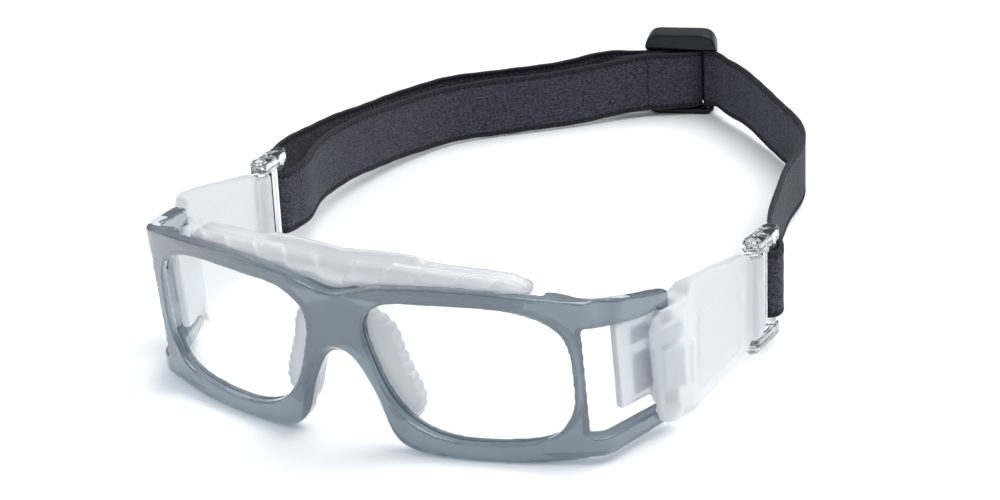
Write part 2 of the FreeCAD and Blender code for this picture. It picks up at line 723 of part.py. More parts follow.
DOC.recompute()
os.makedirs("parts", exist_ok=True)
for item in DOC.Objects:
    if "Invalid" in item.State or "Error" in item.State:
        raise SystemExit(f"{item.Name} did not compute: {item.State}")
for item in FINISHED:
    shape = item.Shape
    if shape.isNull() or not shape.isValid():
        raise SystemExit(f"{item.Label} has no valid shape")
    shape.exportStep(f"parts/{item.Label}.step")
    box = shape.BoundBox
    print(f"{item.Label}: {len(shape.Solids)} solid(s), {shape.Volume:.0f} mm3, "
          f"x {box.XMin:.1f}..{box.XMax:.1f} y {box.YMin:.1f}..{box.YMax:.1f} z {box.ZMin:.1f}..{box.ZMax:.1f}")
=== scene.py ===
"""Sports protective goggles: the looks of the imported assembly.

Lengths are written in millimetres in the CAD's frame (+Z up, the front faces -Y, +X on the wearer's left) and
turned into metres as each mesh is made.
"""

import math

import bmesh
import bpy
import numpy as np
from mathutils import Matrix, Vector
from mathutils.bvhtree import BVHTree


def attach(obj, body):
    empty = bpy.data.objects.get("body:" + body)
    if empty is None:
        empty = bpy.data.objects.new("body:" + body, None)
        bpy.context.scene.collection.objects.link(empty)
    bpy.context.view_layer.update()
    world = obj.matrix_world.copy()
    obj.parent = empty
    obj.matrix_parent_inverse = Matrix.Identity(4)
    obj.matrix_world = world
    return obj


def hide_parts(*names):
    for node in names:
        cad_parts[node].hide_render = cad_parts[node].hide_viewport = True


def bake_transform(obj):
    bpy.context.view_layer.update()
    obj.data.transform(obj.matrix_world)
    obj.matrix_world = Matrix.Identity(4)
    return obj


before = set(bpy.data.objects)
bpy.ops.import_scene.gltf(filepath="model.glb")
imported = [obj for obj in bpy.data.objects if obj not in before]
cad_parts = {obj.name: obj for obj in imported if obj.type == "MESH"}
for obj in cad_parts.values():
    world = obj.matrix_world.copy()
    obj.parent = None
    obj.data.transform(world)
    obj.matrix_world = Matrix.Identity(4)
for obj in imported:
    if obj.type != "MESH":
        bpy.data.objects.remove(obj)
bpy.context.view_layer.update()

MM = 0.001

# ---------------------------------------------------------------- camera, light and floor

CAMERA_PLACE = Vector((333.5, -527.3, 327.7))
CAMERA_AZIMUTH, CAMERA_ELEVATION, CAMERA_ROLL = 28.23, 23.61, -2.63
CAMERA_LENS, CAMERA_SENSOR = 96.98, 36.0
CAMERA_CLIP = 0.01, 50.0
FLOOR_SIZE = 12.0
# height on the sky from 0 to 1, and the colour there
HORIZON, ZENITH = (0.05, (0.16, 0.17, 0.19, 1)), (0.75, (0.80, 0.81, 0.83, 1))
OVERHEAD_STRENGTH, OVERHEAD_SPREAD, OVERHEAD_FROM = 2.25, 50.0, (0.35, 0.30, 1.0)
SOFTBOX_AIM = (0, 0.05, 0)
# name, place (m), width and height (m), power (W)
SOFTBOXES = [
    ("left_softbox", (-0.75, -0.45, 0.55), 0.25, 0.9, 1.6),
    ("right_softbox", (0.85, -0.15, 0.45), 0.2, 0.8, 0.8),
]
PALE = (0.90, 0.91, 0.92)


def looking(azimuth, elevation, roll):
    """Rotation of a camera that looks along an azimuth (0 along +Y) and down by an elevation, in degrees."""
    turn, drop = math.radians(azimuth), math.radians(elevation)
    back = Vector((math.sin(turn) * math.cos(drop), -math.cos(turn) * math.cos(drop), math.sin(drop)))
    right = Vector((0, 0, 1)).cross(back).normalized()
    up = back.cross(right)
    rolled = Matrix.Rotation(math.radians(roll), 3, back)
    return Matrix((rolled @ right, rolled @ up, back)).transposed().to_4x4()


def build_camera():
    camera = bpy.data.objects.new("photo_camera", bpy.data.cameras.new("photo_camera"))
    camera.data.lens = CAMERA_LENS
    camera.data.sensor_width = CAMERA_SENSOR
    camera.data.clip_start, camera.data.clip_end = CAMERA_CLIP
    camera.matrix_world = Matrix.Translation(CAMERA_PLACE * MM) @ looking(
        CAMERA_AZIMUTH, CAMERA_ELEVATION, CAMERA_ROLL)
    bpy.context.collection.objects.link(camera)
    bpy.context.scene.camera = camera


def softbox(name, place, width, height, power):
    """Rectangular lamp at a place, turned to the goggles."""
    lamp = bpy.data.lights.new(name, "AREA")
    lamp.shape = "RECTANGLE"
    lamp.size, lamp.size_y = width, height
    lamp.energy = power
    holder = bpy.data.objects.new(name, lamp)
    holder.location = place
    holder.rotation_euler = (Vector(SOFTBOX_AIM) - Vector(place)).to_track_quat("-Z", "Y").to_euler()
    bpy.context.collection.objects.link(holder)


def build_sky():
    """World that is dark below and pale above."""
    world = bpy.data.worlds.new("studio")
    world.use_nodes = True
    tree = world.node_tree
    background = tree.nodes["Background"]
    height = tree.nodes.new("ShaderNodeSeparateXYZ")
    where = tree.nodes.new("ShaderNodeTexCoord")
    tree.links.new(where.outputs["Generated"], height.inputs[0])
    ramp = tree.nodes.new("ShaderNodeValToRGB")
    ramp.color_ramp.elements[0].position, ramp.color_ramp.elements[0].color = HORIZON
    ramp.color_ramp.elements[1].position, ramp.color_ramp.elements[1].color = ZENITH
    tree.links.new(height.outputs["Z"], ramp.inputs[0])
    tree.links.new(ramp.outputs["Color"], background.inputs["Color"])
    bpy.context.scene.world = world


def build_lights():
    overhead = bpy.data.lights.new("overhead", "SUN")
    overhead.energy, overhead.angle = OVERHEAD_STRENGTH, math.radians(OVERHEAD_SPREAD)
    holder = bpy.data.objects.new("overhead", overhead)
    holder.rotation_euler = Vector(OVERHEAD_FROM).to_track_quat("Z", "Y").to_euler()
    bpy.context.collection.objects.link(holder)
    for name, place, width, height, power in SOFTBOXES:
        softbox(name, place, width, height, power)


def build_floor():
    floor = bpy.data.meshes.new("floor")
    half = FLOOR_SIZE / 2
    corners = [(-half, -half, 0), (half, -half, 0), (half, half, 0), (-half, half, 0)]
    floor.from_pydata(corners, [], [(0, 1, 2, 3)])
    sheet = bpy.data.objects.new("floor", floor)
    bpy.context.collection.objects.link(sheet)
    tree, shader = new_material("pale_floor")
    wire(tree, shader, {"Base Color": PALE, "Roughness": 0.6, "Specular IOR Level": 0.1})
    floor.materials.append(bpy.data.materials["pale_floor"])


# ---------------------------------------------------------------- materials

NOISE_LOW, NOISE_HIGH = 0.3, 0.7     # most of a noise texture's values lie between these
CLOUD_SHADE = 0.955                  # darkest part of an elastomer, as a share of its colour
LOOP_LENGTH, LOOP_WIDTH = 0.9, 0.7   # of the knitted elastic, mm
LOOP_SHARE, PATCH_SHARE = 0.10, 0.25


def new_material(name):
    """A material's node tree and its Principled node."""
    made = bpy.data.materials.new(name)
    made.use_nodes = True
    return made.node_tree, made.node_tree.nodes["Principled BSDF"]


def wire(tree, node, inputs):
    """Set or link a node's inputs: a socket is linked, a colour or number is set."""
    for name, value in inputs.items():
        socket = node.inputs[name]
        if isinstance(value, bpy.types.NodeSocket):
            tree.links.new(value, socket)
        elif isinstance(value, tuple) and socket.type == "RGBA":
            socket.default_value = (*value, 1.0)
        else:
            socket.default_value = value
    return node


def place_of(tree, stretch=(1.0, 1.0, 1.0), uv=False):
    """Rest position over the object in metres, or the webbing's own length and width, stretched."""
    where = tree.nodes.new("ShaderNodeTexCoord").outputs["UV" if uv else "Object"]
    scaled = tree.nodes.new("ShaderNodeVectorMath")
    scaled.operation = "MULTIPLY"
    scaled.inputs[1].default_value = stretch
    tree.links.new(where, scaled.inputs[0])
    return scaled.outputs[0]


def noise(tree, scale, detail, roughness=0.5, stretch=(1.0, 1.0, 1.0), uv=False):
    made = tree.nodes.new("ShaderNodeTexNoise")
    wire(tree, made, {"Vector": place_of(tree, stretch, uv), "Scale": scale, "Detail": detail,
                      "Roughness": roughness})
    return made.outputs["Fac"]


def between(tree, factor, low, high):
    """A colour or number from low to high as a noise goes from its low values to its high ones."""
    if isinstance(low, tuple):
        made = tree.nodes.new("ShaderNodeValToRGB")
        for stop, place, colour in zip(made.color_ramp.elements, (NOISE_LOW, NOISE_HIGH), (low, high)):
            stop.position, stop.color = place, (*colour, 1)
        tree.links.new(factor, made.inputs[0])
        return made.outputs["Color"]
    made = tree.nodes.new("ShaderNodeMapRange")
    wire(tree, made, {"Value": factor, "From Min": NOISE_LOW, "From Max": NOISE_HIGH, "To Min": low,
                      "To Max": high})
    return made.outputs["Result"]


def combine(tree, operation, first, second):
    made = tree.nodes.new("ShaderNodeMath")
    made.operation = operation
    for socket, value in zip(made.inputs, (first, second)):
        if isinstance(value, bpy.types.NodeSocket):
            tree.links.new(value, socket)
        else:
            socket.default_value = value
    return made.outputs[0]


def relief(tree, height, depth, strength):
    """Bump of a given depth in millimetres."""
    made = tree.nodes.new("ShaderNodeBump")
    wire(tree, made, {"Height": height, "Distance": depth * MM, "Strength": strength})
    return made.outputs["Normal"]


def lit_through(tree, shader, tint):
    """Let lamps shine through: rays towards a lamp pass the surface with a tint."""
    output = tree.nodes["Material Output"]
    clear = wire(tree, tree.nodes.new("ShaderNodeBsdfTransparent"), {"Color": tint})
    path = tree.nodes.new("ShaderNodeLightPath")
    mix = tree.nodes.new("ShaderNodeMixShader")
    tree.links.new(path.outputs["Is Shadow Ray"], mix.inputs[0])
    tree.links.new(shader.outputs[0], mix.inputs[1])
    tree.links.new(clear.outputs[0], mix.inputs[2])
    tree.links.new(mix.outputs[0], output.inputs["Surface"])


def smoke_plastic():
    """Smoke-grey polycarbonate: glossy, half clear, with faint flow clouds and a little haze from handling."""
    tree, shader = new_material("smoke_plastic")
    clouds = noise(tree, 45.0, 3.0)
    haze = noise(tree, 320.0, 4.0, 0.6)
    wire(tree, shader, {
        "Base Color": between(tree, clouds, (0.175, 0.235, 0.282), (0.210, 0.272, 0.322)),
        "Roughness": between(tree, haze, 0.05, 0.10),
        "IOR": 1.56,
        "Transmission Weight": 0.62,
        "Coat Weight": 1.0,
        "Coat Roughness": 0.03,
    })
    lit_through(tree, shader, (0.42, 0.47, 0.51))


def clear_lens():
    """Clear polycarbonate with a hard coat: it bends little and mirrors the room faintly."""
    tree, shader = new_material("clear_lens")
    smears = noise(tree, 45.0, 3.0, 0.55)
    wire(tree, shader, {
        "Base Color": (0.985, 0.99, 0.99),
        "Roughness": between(tree, smears, 0.0, 0.02),
        "IOR": 1.49,
        "Transmission Weight": 1.0,
    })
    lit_through(tree, shader, (0.95, 0.96, 0.96))


def frosted(name, colour, low, high, transmission, tint):
    """Soft translucent elastomer: milky, finely matt between two roughnesses, a little uneven in thickness."""
    tree, shader = new_material(name)
    clouds = noise(tree, 110.0, 3.0)
    grain = noise(tree, 2600.0, 2.0)
    wire(tree, shader, {
        "Base Color": between(tree, clouds, tuple(CLOUD_SHADE * part for part in colour), colour),
        "Roughness": between(tree, clouds, low, high),
        "IOR": 1.33,
        "Transmission Weight": transmission,
        "Subsurface Weight": 0.25,
        "Subsurface Radius": (0.004, 0.004, 0.004),
        "Specular IOR Level": 0.35,
        "Normal": relief(tree, grain, 0.02, 0.35),
    })
    lit_through(tree, shader, tint)


def insert_plastic():
    """Stiff core of the temple: blue-grey plastic with a satin skin."""
    tree, shader = new_material("insert_plastic")
    clouds = noise(tree, 140.0, 3.0)
    wire(tree, shader, {
        "Base Color": between(tree, clouds, (0.66, 0.74, 0.80), (0.72, 0.80, 0.85)),
        "Roughness": between(tree, clouds, 0.3, 0.4),
        "Transmission Weight": 0.35,
    })
    lit_through(tree, shader, (0.5, 0.55, 0.6))


def crystal():
    """Water-clear moulded plastic with slightly wavy walls."""
    tree, shader = new_material("clear_crystal")
    waves = noise(tree, 260.0, 1.0)
    wire(tree, shader, {
        "Base Color": (0.80, 0.82, 0.84),
        "Roughness": between(tree, waves, 0.01, 0.05),
        "IOR": 1.5,
        "Transmission Weight": 1.0,
        "Normal": relief(tree, waves, 0.08, 0.5),
    })
    lit_through(tree, shader, (0.80, 0.81, 0.82))


def knit():
    """Charcoal elastic: knitted loops in rows across the band, heathered yarn, darker and lighter patches."""
    tree, shader = new_material("knit_elastic")
    heather = noise(tree, 1.0, 1.0, 0.6, (1150.0, 1500.0, 1.0), True)
    patches = noise(tree, 1.0, 3.0, 0.6, (260.0, 330.0, 1.0), True)
    along = place_of(tree, (2 * math.pi / (LOOP_LENGTH * MM), 2 * math.pi / (LOOP_WIDTH * MM), 1.0), True)
    parts = wire(tree, tree.nodes.new("ShaderNodeSeparateXYZ"), {"Vector": along})
    course = combine(tree, "SINE", parts.outputs["X"], 0.0)
    wale = combine(tree, "SINE", parts.outputs["Y"], 0.0)
    loops = combine(tree, "MULTIPLY", combine(tree, "MULTIPLY", course, wale), LOOP_SHARE)
    cloth = combine(tree, "ADD", heather, loops)
    mottled = combine(tree, "ADD", combine(tree, "MULTIPLY", patches, PATCH_SHARE),
                      combine(tree, "MULTIPLY", cloth, 1.0 - PATCH_SHARE))
    wire(tree, shader, {
        "Base Color": between(tree, mottled, (0.004, 0.0035, 0.008), (0.082, 0.078, 0.112)),
        "Roughness": 0.9,
        "Specular IOR Level": 0.2,
        "Sheen Weight": 0.05,
        "Sheen Roughness": 0.6,
        "Normal": relief(tree, cloth, 0.22, 1.0),
    })


def piping():
    """Overlocked yarn along the edges of the elastic."""
    tree, shader = new_material("edge_yarn")
    twist = noise(tree, 1.0, 2.0, 0.6, (2400.0, 500.0, 1.0), True)
    wire(tree, shader, {
        "Base Color": between(tree, twist, (0.007, 0.0065, 0.011), (0.036, 0.034, 0.048)),
        "Roughness": 0.85,
        "Specular IOR Level": 0.2,
        "Sheen Weight": 0.05,
        "Normal": relief(tree, twist, 0.12, 0.7),
    })


def sewing_thread():
    """Dark thread with a hint of red."""
    tree, shader = new_material("sewing_thread")
    twist = noise(tree, 5200.0, 1.0)
    wire(tree, shader, {
        "Base Color": between(tree, twist, (0.004, 0.003, 0.004), (0.034, 0.010, 0.016)),
        "Roughness": 0.8,
        "Specular IOR Level": 0.2,
        "Normal": relief(tree, twist, 0.05, 0.6),
    })


def black_plastic():
    """Near-black acetal with a fine satin grain."""
    tree, shader = new_material("black_plastic")
    grain = noise(tree, 2200.0, 3.0)
    rubbed = noise(tree, 160.0, 3.0)
    wire(tree, shader, {
        "Base Color": between(tree, rubbed, (0.004, 0.004, 0.005), (0.010, 0.010, 0.012)),
        "Roughness": between(tree, rubbed, 0.28, 0.42),
        "Specular IOR Level": 0.28,
        "Normal": relief(tree, grain, 0.02, 0.4),
    })


def build_materials():
    smoke_plastic()
    clear_lens()
    frosted("pad_silicone", (0.72, 0.738, 0.76), low=0.28, high=0.40, transmission=0.48,
            tint=(0.80, 0.81, 0.82))
    frosted("temple_elastomer", (0.82, 0.832, 0.85), low=0.32, high=0.44, transmission=0.60,
            tint=(0.84, 0.85, 0.86))
    insert_plastic()
    crystal()
    knit()
    piping()
    sewing_thread()
    black_plastic()


# ---------------------------------------------------------------- curves

FINE_POINTS = 60       # per given point, when a curve is measured
CURVE_STEP = 0.25
ARC_POINTS = 5


def spline(points):
    """Smooth curve through points: a function of the distance along their chords, and that distance's end."""
    points = np.array(points, dtype=float)
    knots = np.concatenate([[0.0], np.cumsum(np.linalg.norm(np.diff(points, axis=0), axis=1))])
    gaps, last = np.diff(knots), len(points) - 1
    system, right = np.eye(last + 1), np.zeros_like(points)
    for index in range(1, last):
        before, after = gaps[index - 1], gaps[index]
        system[index, index - 1:index + 2] = before, 2 * (before + after), after
        right[index] = 6 * ((points[index + 1] - points[index]) / after
                            - (points[index] - points[index - 1]) / before)
    bend = np.linalg.solve(system, right)

    def at(distance):
        distance = np.clip(np.atleast_1d(distance), 0.0, knots[-1])
        span = np.clip(np.searchsorted(knots, distance, side="right") - 1, 0, last - 1)
        gap = gaps[span][:, None]
        near = (knots[span + 1] - distance)[:, None] / gap
        far = 1.0 - near
        return (near * points[span] + far * points[span + 1]
                + ((near**3 - near) * bend[span] + (far**3 - far) * bend[span + 1]) * gap**2 / 6)

    return at, knots[-1]


def walk(points, step):
    """Evenly spaced points on the smooth curve through given ones, and its length."""
    at, end = spline(points)
    fine = at(np.linspace(0.0, end, FINE_POINTS * len(points)))
    run = np.concatenate([[0.0], np.cumsum(np.linalg.norm(np.diff(fine, axis=0), axis=1))])
    even = np.linspace(0.0, run[-1], max(3, round(run[-1] / step) + 1))
    return np.stack([np.interp(even, run, fine[:, axis]) for axis in range(fine.shape[1])], axis=1), run[-1]


def height_curve(points):
    """A smooth height as a function of one coordinate."""
    line, _ = walk(points, CURVE_STEP)
    order = np.argsort(line[:, 0])
    return lambda place: np.interp(place, line[order, 0], line[order, 1])


def unit(angle):
    turn = math.radians(angle)
    return np.array([math.cos(turn), math.sin(turn)])


def around(centre, radius, first, last):
    """Points on an arc about a bar, by angle from +X."""
    return [tuple(np.array(centre) + unit(angle) * radius) for angle in np.linspace(first, last, ARC_POINTS)]


# ---------------------------------------------------------------- meshes

SETTLE_PASSES = 2      # of rounding, that take the voxels' steps away
MOVED = 0.02           # a point that shape has moved by more than this keeps its mesh's own normal


def smooth_step(value):
    """Soft step from 0 to 1, flat at both ends."""
    value = np.clip(value, 0.0, 1.0)
    return value * value * (3 - 2 * value)


def piece_of(name, mesh, material):
    """Object of a mesh, with one material."""
    made = bpy.data.objects.new(name, mesh)
    bpy.context.collection.objects.link(made)
    mesh.materials.clear()
    mesh.materials.append(bpy.data.materials[material])
    return made


def rings_mesh(name, rings):
    """Closed skin over rings of points, each ring a loop, with a cap on either end."""
    count, turns = len(rings), len(rings[0])
    points = [tuple(point * MM) for ring in rings for point in ring]
    faces = []
    for index in range(count - 1):
        for corner in range(turns):
            following = (corner + 1) % turns
            faces.append((index * turns + corner, index * turns + following,
                          (index + 1) * turns + following, (index + 1) * turns + corner))
    faces.append(tuple(reversed(range(turns))))
    faces.append(tuple(range((count - 1) * turns, count * turns)))
    mesh = bpy.data.meshes.new(name)
    mesh.from_pydata(points, [], faces)
    outward(mesh)
    shade(mesh)
    return mesh


def shade(mesh):
    """Smooth shading, apart from the end caps of a loft."""
    mesh.polygons.foreach_set("use_smooth", [len(face.vertices) == 4 for face in mesh.polygons])


def outward(mesh):
    """Turn every face of a closed mesh outwards."""
    shell = bmesh.new()
    shell.from_mesh(mesh)
    bmesh.ops.recalc_face_normals(shell, faces=shell.faces)
    shell.to_mesh(mesh)
    shell.free()


def relax(points, edges, passes, share=0.5):
    """Round edges: each pass moves a point a share of the way to the mean of its neighbours."""
    neighbours = np.bincount(edges.ravel(), minlength=len(points))[:, None]
    for _ in range(passes):
        total = np.stack([
            np.bincount(edges[:, 0], points[edges[:, 1], axis], len(points))
            + np.bincount(edges[:, 1], points[edges[:, 0], axis], len(points)) for axis in range(3)], axis=1)
        points = points + share * (total / neighbours - points)
    return points


def surface_normals(source, points):
    """The CAD surface's own smooth normals at the nearest places to some points (mm)."""
    source.calc_loop_triangles()
    corners = np.array([triangle.vertices for triangle in source.loop_triangles])
    loops = np.array([triangle.loops for triangle in source.loop_triangles])
    places = np.array([vertex.co for vertex in source.vertices])
    normals = np.array([corner.vector for corner in source.corner_normals])
    tree = BVHTree.FromPolygons(places.tolist(), corners.tolist())
    found = [tree.find_nearest(point) for point in (points * MM).tolist()]
    spots = np.array([hit[0] for hit in found])
    faces = np.array([hit[2] for hit in found])
    first, second, third = (places[corners[faces, index]] for index in range(3))
    whole = np.cross(second - first, third - first)
    area = (whole**2).sum(axis=1)
    weights = np.stack([(np.cross(third - second, spots - second) * whole).sum(axis=1),
                        (np.cross(first - third, spots - third) * whole).sum(axis=1),
                        (np.cross(second - first, spots - first) * whole).sum(axis=1)], axis=1) / area[:, None]
    return (normals[loops[faces]] * np.clip(weights, 0.0, 1.0)[:, :, None]).sum(axis=1)


def remeshed(name, node, voxel, additions):
    """Even mesh of a CAD node, grown together with some closed meshes."""
    skin = bmesh.new()
    skin.from_mesh(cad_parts[node].data)
    for extra in additions:
        skin.from_mesh(extra)
    mesh = bpy.data.meshes.new(name)
    skin.to_mesh(mesh)
    skin.free()
    holder = bpy.data.objects.new(f"{name}_blank", mesh)
    bpy.context.collection.objects.link(holder)
    remesh = holder.modifiers.new("even", "REMESH")
    remesh.mode = "VOXEL"
    remesh.voxel_size = voxel * MM
    bpy.context.view_layer.update()
    even = bpy.data.meshes.new_from_object(holder.evaluated_get(bpy.context.evaluated_depsgraph_get()))
    bpy.data.objects.remove(holder)
    even.name = name
    return even


def moulded(name, node, material, grain, shape=None, additions=(), polished=False):
    """Skin of a CAD node, remeshed evenly so that its edges can be rounded as moulding leaves them.

    The grain is the size of the even mesh (mm) and the number of rounding passes.
    Additions are closed meshes that grow into the skin; shape moves its points (in mm) before the rounding.
    A polished skin is shaded with the CAD surface's own normals wherever shape leaves it in place.
    """
    voxel, passes = grain
    even = remeshed(name, node, voxel, additions)
    points = np.empty(3 * len(even.vertices))
    even.vertices.foreach_get("co", points)
    edges = np.empty(2 * len(even.edges), dtype=np.int64)
    even.edges.foreach_get("vertices", edges)
    points, edges = points.reshape(-1, 3) / MM, edges.reshape(-1, 2)
    blank = points = relax(points, edges, SETTLE_PASSES)
    if shape is not None:
        points = shape(points)
    moved = np.linalg.norm(points - blank, axis=1) > MOVED
    points = relax(points, edges, passes)
    even.vertices.foreach_set("co", (points * MM).ravel())
    even.update()
    shade(even)
    if polished:
        own = np.array([normal.vector for normal in even.vertex_normals])
        exact = surface_normals(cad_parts[node].data, blank)
        normals = relax(np.where(moved[:, None], own, exact), edges, passes)
        normals /= np.linalg.norm(normals, axis=1)[:, None]
        even.normals_split_custom_set_from_vertices(normals.tolist())
    made = piece_of(name, even, material)
    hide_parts(node)
    return made


# ---------------------------------------------------------------- geometry shared with the CAD

FRONT_RADIUS, FACE_LEAN, LEAN_HEIGHT = 150.0, 0.12, 42.5
FRONT_DEPTH = 5.6
BROW = [(7.0, 47.7), (13.0, 49.4), (21.0, 50.4), (34.0, 50.9), (48.0, 50.1), (66.0, 47.9)]
BROW_MIDDLE = 46.0
RIM = [(3.3, 26.7), (6.2, 22.4), (8.9, 16.5), (10.8, 10.5), (13.2, 5.2), (17.0, 2.0), (22.5, 0.6), (33.0, 0.0),
       (45.0, 0.0), (58.0, 1.0), (68.0, 2.6)]
ARCH_TOP = 28.2
ARM_FRONT, ARM_REAR = np.array([70.5, 25.0]), np.array([76.0, 43.5])
HALF_ARM = 2.2
FACE_REACH = 80        # beyond this half width the front face's depth stays level


def both_sides(middle, points):
    """Points of a symmetric curve from one side to the other."""
    return [(-x, z) for x, z in reversed(points)] + [(0.0, middle)] + list(points)


def face_depth(points):
    """How far points lie behind the front face."""
    face = FRONT_RADIUS - np.sqrt(FRONT_RADIUS**2 - np.clip(points[:, 0], -FACE_REACH, FACE_REACH)**2)
    return points[:, 1] - face - FACE_LEAN * (LEAN_HEIGHT - points[:, 2])


def behind_face(x, depth, z):
    """Point at a depth behind the front face."""
    radius = FRONT_RADIUS - depth
    y = FRONT_RADIUS - math.sqrt(radius**2 - x**2) + FACE_LEAN * (LEAN_HEIGHT - z)
    return np.array([x, y, z])


# ---------------------------------------------------------------- frame

FRAME_GRAIN = 0.45, 5
ARCH_CHAMFER, RIM_CHAMFER = 2.4, 1.3
CHAMFER_SPAN, CHAMFER_DEPTH, CHAMFER_CEILING = 62, 3.2, 34
ARCH_SPAN, ARCH_FADE = 16.0, 6.0
EDGE_STEP, EDGE_BATCH = 0.5, 40
EAR_TUCK = 2.0
# where the tuck starts or ends, and the distance over which it grows
EAR_SPAN, EAR_FLOOR, EAR_REAR = (62.0, 8.0), (37.0, 5.0), (26.0, 8.0)


def shape_frame(points):
    """Chamfer the lower edge, widest under the bridge, and tuck the upper corners in."""
    edge, _ = walk(both_sides(ARCH_TOP, RIM), EDGE_STEP)
    span = np.abs(points[:, 0])
    front = (span < CHAMFER_SPAN) & (face_depth(points) < CHAMFER_DEPTH) & (points[:, 2] < CHAMFER_CEILING)
    low = points[front]
    distance = np.full(len(low), np.inf)
    for start in range(0, len(edge), EDGE_BATCH):
        part = edge[start:start + EDGE_BATCH]
        gap = low[:, None, [0, 2]] - part[None]
        distance = np.minimum(distance, np.sqrt((gap**2).sum(axis=2)).min(axis=1))
    arch = smooth_step((ARCH_SPAN - np.abs(low[:, 0])) / ARCH_FADE)
    width = RIM_CHAMFER + (ARCH_CHAMFER - RIM_CHAMFER) * arch
    points = points.copy()
    points[front, 1] += np.clip(width - distance - face_depth(low), 0.0, None)
    ear = (smooth_step((span - EAR_SPAN[0]) / EAR_SPAN[1])
           * smooth_step((points[:, 2] - EAR_FLOOR[0]) / EAR_FLOOR[1])
           * smooth_step((EAR_REAR[0] - points[:, 1]) / EAR_REAR[1]))
    points[:, 0] -= np.sign(points[:, 0]) * EAR_TUCK * ear
    return points


def build_frame():
    made = moulded("frame_shell", "frame_front", "smoke_plastic", FRAME_GRAIN, shape_frame, polished=True)
    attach(made, "root")


def build_lenses():
    for side in ("right", "left"):
        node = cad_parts[f"lens_{side}"]
        for slot in node.material_slots:
            slot.material = bpy.data.materials["clear_lens"]


# ---------------------------------------------------------------- pads

PAD_TOP = [(0.0, 54.0), (19.0, 54.6), (24.0, 54.1), (38.0, 53.0), (45.0, 51.9), (49.0, 50.7), (54.0, 48.8)]
PAD_HALF_SPAN, PAD_END = 49.8, 5.0
PAD_GAP = 0.15
REBATE_FLOOR, REBATE_DEPTH = 47.4, 3.3
RIB_EDGES = [2.5, 12.7, 22.5, 32.7, 41.7]
LAST_RIB, RIB_EDGE_SHARE = 9.0, 0.05
RIB_LEAN, RIB_HEIGHT = 3.4, 0.8
RIB_STRETCH = 1.15     # the ribs end a little before the crest
BELLY, SLOPE_POINTS = 0.5, 15
LIP_END, LIP_FADE, LIP_HEIGHT = 23.5, 2.5, 0.9
PAD_STEP, PAD_CENTRE = 0.4, np.array([8.0, 48.4])
END_DEPTH, END_FLOOR = 0.35, 0.02


def rib_rise(x, up):
    """Sawtooth of the brow pad's slanted ribs; up runs from 0 at their foot to 1 at their head."""
    across = abs(x) - RIB_LEAN * up
    for low, high in zip(RIB_EDGES, RIB_EDGES[1:] + [RIB_EDGES[-1] + LAST_RIB]):
        if low <= across < high:
            share = (across - low) / (high - low)
            edge = min(1.0, share / RIB_EDGE_SHARE)
            swell = math.sin(math.pi * min(max(up, 0.0), 1.0)) ** 0.5
            return RIB_HEIGHT * edge * (1.0 - share) * swell
    return 0.0


def brow_ring(x, lip, top):
    """Section of the brow pad at x: behind the frame's lip, up over the ribs to the crest and down the back."""
    floor = min(REBATE_FLOOR + PAD_GAP, lip + PAD_GAP)
    front = REBATE_DEPTH + PAD_GAP
    rear = FRONT_DEPTH + 2 * PAD_GAP
    lift = LIP_HEIGHT * smooth_step((LIP_END - abs(x)) / LIP_FADE)
    under = [(9.0, 43.9), (rear + 0.4, 44.0), (rear, 44.6), (rear, 46.0), (rear, floor), (front, floor),
             (front, max(floor + 0.4, lip - 0.9)), (front, max(floor + 0.8, lip - 0.2))]
    slope = []
    foot, head = np.array([front + 0.15, max(floor + 1.2, lip + 0.25)]), np.array([8.0, top - 0.5])
    run = (head - foot) / np.linalg.norm(head - foot)
    normal = np.array([-run[1], run[0]])
    for up in np.linspace(0.0, 1.0, SLOPE_POINTS):
        belly = BELLY * math.sin(math.pi * up)
        slope.append(tuple(foot + (head - foot) * up + normal * (belly + rib_rise(x, up * RIB_STRETCH))))
    crest = [(8.8, top - 0.05 + 0.4 * lift), (9.6, top + lift), (10.5, top + lift),
             (11.2, top - 0.5 + lift * 0.7), (11.8, top - 1.6), (11.9, 50.4), (11.7, 48.0), (11.2, 45.8),
             (10.3, 44.4)]
    return under + slope + crest


def build_brow_pad():
    """Soft pad along the brow: slanted ribs in front of a smooth crest, with a raised lip at the middle."""
    lip_at, top_at = height_curve(both_sides(BROW_MIDDLE, BROW)), height_curve(PAD_TOP)
    rings = []
    for x in np.arange(-PAD_HALF_SPAN, PAD_HALF_SPAN + 0.01, PAD_STEP):
        ring = np.array(brow_ring(x, float(lip_at(x)), float(top_at(abs(x)))))
        end = max(0.0, (abs(x) - PAD_HALF_SPAN + PAD_END) / PAD_END)
        scale = math.sqrt(max(1.0 - end**2, END_FLOOR))
        squeeze = np.array([END_DEPTH + (1.0 - END_DEPTH) * scale, scale])
        ring = PAD_CENTRE + (ring - PAD_CENTRE) * squeeze
        rings.append([behind_face(x, depth, z) for depth, z in ring])
    mesh = rings_mesh("brow_cushion", rings)
    made = piece_of("brow_cushion", mesh, "pad_silicone")
    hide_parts("brow_pad")
    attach(made, "root")


PAD_OUTER = [(6.0, 41.0), (11.5, 38.6), (14.6, 34.6), (15.5, 30.8), (16.9, 26.2), (19.4, 19.5), (20.3, 13.6),
             (18.1, 8.3)]
PAD_INNER = [(4.0, 27.8), (7.0, 23.5), (9.3, 18.0), (10.9, 12.5), (13.0, 8.0)]
PAD_CROWN, PAD_SADDLE = 42.4, 29.3
SCALLOP_PITCH, SCALLOP_DEPTH, SCALLOP_POWER = 3.1, 0.85, 0.7
SCALLOP_END_FADE, SCALLOP_CROWN_FADE = 4.0, 6.0
NOSE_DEPTHS = (5.75, 10.7)
NOSE_END, NOSE_END_FLOOR, NOSE_END_DEPTH = 2.2, 0.04, 0.3


